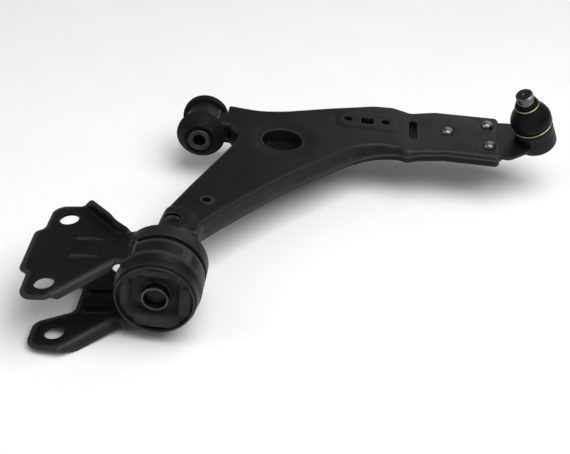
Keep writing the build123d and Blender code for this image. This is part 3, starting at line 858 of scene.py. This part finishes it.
for side, node in ((1, "bracket_upper_plate"), (-1, "bracket_lower_plate")):
    bolts = [circle(bolt_x, bolt_v, bolt_r, 48), circle(bolt_x, -bolt_v, bolt_r, 48)]
    plate = pressed(node.replace("plate", "pressing"), sheet_outline(side), bolts, 2.6, 0.7,
                    place_bracket(side), "rear_bracket", bracket_coat)
    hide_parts(node)


def strap_line(angle, start, end, radius):
    """A line along the hoop, in steps of a millimetre, with a hand welder's waver."""
    a = radians(angle)
    return [bracket_frame @ Vector(((radius + 0.1 * sin(v)) * cos(a + 0.006 * sin(1.3 * v)), v,
                                    radius * sin(a + 0.006 * sin(1.3 * v)))) for v in range(start, end)]


strap_bead = tube("strap_bead", strap_line(45.5, -20, 4, strap_r - 0.5), 1.0, "rear_bracket", weld_coat,
                  ripple=0.1)
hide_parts("bracket_weld")
side_bead = tube("side_bead", strap_line(119, -15, 8, strap_r - 0.9), 1.9, "rear_bracket", weld_coat,
                 ripple=0.14)

# ---- ball joint ------------------------------------------------------------

joint_corners = [(284, -6, 10), (374, -12, 12), (400, 12, 20), (404, 68, 20), (376, 72.5, 12), (284, 60, 10)]


def place_joint_plate(x, y, depth, from_top):
    z = arm_top - 3 - corner_drop(depth, 0.9) if from_top else nose_seam + corner_drop(depth, 0.9)
    return Vector((x, y, z))


joint_plate = pressed("ball_joint_flange", dense(rounded(joint_corners), 3), [], 4.0, 0.9,
                      place_joint_plate, "arm", forged_coat)
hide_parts("ball_joint_plate")

housing = lathe("ball_housing", rounded_profile([
    (17.6, -16.2, 0.5), (18.6, -16.6, 0.5), (22.4, -16.6, 1.2), (24.2, -14.6, 2), (24.3, -3, 3), (23.8, 4, 3),
    (24.2, 9, 2), (24.2, 12.2, 1.2), (22.2, 14.2, 0.8), (21.4, 15.2, 0.3), (21.4, 21, 0.4), (20.6, 21.8, 0.4),
    (19.2, 21.8, 0.4), (12.4, 7, 1), (14, -3, 5), (12, -12, 2), (17.4, -14, 0.4)]), ball_frame, "arm",
    forged_coat, segments=128)
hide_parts("ball_joint_housing")

ball_r = 11.7  # a tenth under the frame's ball, so the two meshes stay apart as it turns
ball_arc = [(ball_r * cos(radians(a)), ball_r * sin(radians(a))) for a in range(-84, 50, 6)]
pin_corners = [(7.5, 11, 1), (7.5, 28, 3), (10.5, 37, 2), (10.5, 58, 0.4), (9.7, 58.8, 0.8), (9.7, 61.2, 0.8),
               (10.5, 62, 0.4), (10.5, 66.4, 0.3), (9.4, 67.5, 0.3), (2.4, 67.5, 0.2), (0, 65.1, 0)]
stud = lathe("ball_pin", [(0, -ball_r), *ball_arc, *rounded_profile(pin_corners)], ball_frame, "stud",
             pin_steel, segments=120)
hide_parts("ball_stud")
face_profile = [(0, 65.25), (2.45, 67.6), (9.2, 67.62), (9.2, 67.3), (2.45, 67.3), (0, 64.9)]
pin_face = lathe("pin_end_face", face_profile, ball_frame, "stud", turned_steel, segments=96)

for index, (x, y) in enumerate(rivet_spots):
    for end, level, way in (("head", arm_top - 0.7, 1), ("foot", nose_bottom, -1)):
        dome = [(0, way * 4.3), (2.6, way * 4.2), (4.8, way * 3.6), (6.4, way * 2.6), (7.4, way * 1.3),
                (7.7, way * 0.3), (7.9, 0), (7.7, -way * 0.6), (rivet_r, -way * 0.8), (0, -way * 0.8)]
        rivet = lathe(f"rivet_{end}_{index}", dome, frame_at((x, y, level), (1, 0, 0), (0, 0, 1)), "arm",
                      rivet_steel, segments=48, smooth=50)
        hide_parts("ball_joint_rivets")

boot_out = [(23.0, 15.4), (23.05, 19.4), (23.6, 21.2), (24.6, 23.4), (24.9, 26), (24.5, 29.2), (23.4, 32.6),
            (21.6, 36.4), (19.4, 40), (16.8, 43.6), (14.6, 46.4), (13.5, 48.4), (13.2, 50), (13.3, 52.6)]
boot_in = [(21.7, 15.4), (21.7, 20.4), (22.6, 22.4), (23.3, 24.4), (23.5, 26.4), (23.1, 28.8), (22.0, 32.2),
           (20.2, 35.9), (18.0, 39.4), (15.5, 42.9), (13.4, 45.8), (12.6, 47.8), (12.4, 50), (12.4, 52.6)]


def finer(line, parts=3):
    """A smooth curve through a coarse profile, by Catmull-Rom segments."""
    out = []
    for i in range(len(line) - 1):
        p = [np.array(line[min(max(j, 0), len(line) - 1)]) for j in (i - 1, i, i + 1, i + 2)]
        for k in range(parts):
            t = k / parts
            square = 2 * p[0] - 5 * p[1] + 4 * p[2] - p[3]
            cube = 3 * p[1] - p[0] - 3 * p[2] + p[3]
            out.append(tuple(0.5 * (2 * p[1] + (p[2] - p[0]) * t + square * t**2 + cube * t**3)))
    return out + [tuple(line[-1])]


fold_height = 29.0
for name, low, high, bodies, span in (
    ("boot_lower", 0.0, fold_height, ("arm", "ball_seat_body"), (20.5, fold_height)),
    ("boot_upper", fold_height, 99.0, ("ball_seat_body", "boot_top"), (fold_height, 43.0)),
):
    skins = []
    for line in (finer(boot_out), finer(boot_in)):
        kept = [p for p in line if low < p[1] < high]
        radius = np.interp(fold_height, [p[1] for p in line[4:]], [p[0] for p in line[4:]])
        skins.append(kept + [(radius, fold_height)] if low == 0.0 else [(radius, fold_height)] + kept)
    boot = lathe(name, skins[0] + skins[1][::-1], ball_frame, None, boot_rubber, segments=96, smooth=60)
    start, end = (ball_frame @ Vector((0, 0, height)) * MM for height in span)
    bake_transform(boot)
    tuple(start)
    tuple(end)
    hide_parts("dust_boot")

for name, node, radius, height, wire, body in (
    ("boot_wire_low", "boot_lower_ring", 24.0, 18.0, 1.0, "arm"),
    ("boot_wire_high", "boot_upper_ring", 14.1, 50.0, 0.9, "boot_top"),
):
    profile = [(radius + wire * cos(a), height + wire * sin(a)) for a in (2 * pi * k / 14 for k in range(14))]
    wire_ring = lathe(name, profile, ball_frame, body, ring_wire, segments=120, smooth=60)
    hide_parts(node)

lip = lathe("boot_lip", rounded_profile([
    (10.56, 46.5, 0.3), (12.3, 46.5, 0.4), (12.3, 53, 0.4), (13.0, 53.8, 0.6), (12.8, 55.4, 0.8),
    (11.6, 55.0, 0.5), (10.56, 54.4, 0.4)]), ball_frame, "boot_top", boot_rubber)
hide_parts("boot_collar")

for node, material in (("front_bush_shell", turned_steel), ("ball_joint_cap", forged_coat),
                       ("ball_seat", seat_plastic)):
    surface = frame["nodes"][node]
    surface.data.materials.clear()
    surface.data.materials.append(material)

# ---- floor, light and camera -----------------------------------------------

low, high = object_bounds()
floor_mesh = bpy.data.meshes.new("floor")
reach = 6.0
floor_corners = [(x * reach, y * reach, low.z) for x, y in ((-1, -1), (1, -1), (1, 1), (-1, 1))]
floor_mesh.from_pydata(floor_corners, [], [(0, 1, 2, 3)])
floor = bpy.data.objects.new("floor", floor_mesh)
floor_mesh.materials.append(floor_paper("floor_paper"))
bpy.context.scene.collection.objects.link(floor)

middle = (low + high) / 2


def soft_light(name, place, size, power):
    """A square area light aimed at the middle of the arm."""
    light = bpy.data.lights.new(name, "AREA")
    light.shape = "SQUARE"
    light.size = size
    light.energy = power
    lamp = bpy.data.objects.new(name, light)
    lamp.location = middle + Vector(place)
    lamp.rotation_euler = (-Vector(place)).to_track_quat("-Z", "Y").to_euler()
    bpy.context.scene.collection.objects.link(lamp)


soft_light("key", (0.5, -0.35, 1.75), 1.8, 46)
soft_light("fill", (-1.6, -0.6, 1.0), 1.4, 9)
soft_light("rear", (0.7, 1.7, 0.9), 1.4, 5)

world = bpy.data.worlds.new("studio")
bpy.context.scene.world = world
world.use_nodes = True
background = world.node_tree.nodes["Background"]
background.inputs["Color"].default_value = (1.0, 1.0, 1.0, 1)
background.inputs["Strength"].default_value = 0.2
bpy.context.scene.view_settings.view_transform = "Standard"

azimuth, elevation, roll = radians(1.58), radians(35.14), radians(6.01)
aim, distance = Vector((0.1175, -0.1945, 0.0)), 1.361
back = Vector((sin(azimuth) * cos(elevation), -cos(azimuth) * cos(elevation), sin(elevation)))
right = Vector((cos(azimuth), sin(azimuth), 0))
up = back.cross(right)
tilted_right = cos(roll) * right + sin(roll) * up
tilted_up = back.cross(tilted_right)
camera_data = bpy.data.cameras.new("camera")
camera_data.sensor_width = 36.0
camera_data.lens = 78.6
camera_data.clip_start, camera_data.clip_end = 0.01, 50.0
camera = bpy.data.objects.new("camera", camera_data)
turn = Matrix((tilted_right, tilted_up, back)).transposed().to_4x4()
turn.translation = aim + back * distance
camera.matrix_world = turn
bpy.context.scene.collection.objects.link(camera)
bpy.context.scene.camera = camera
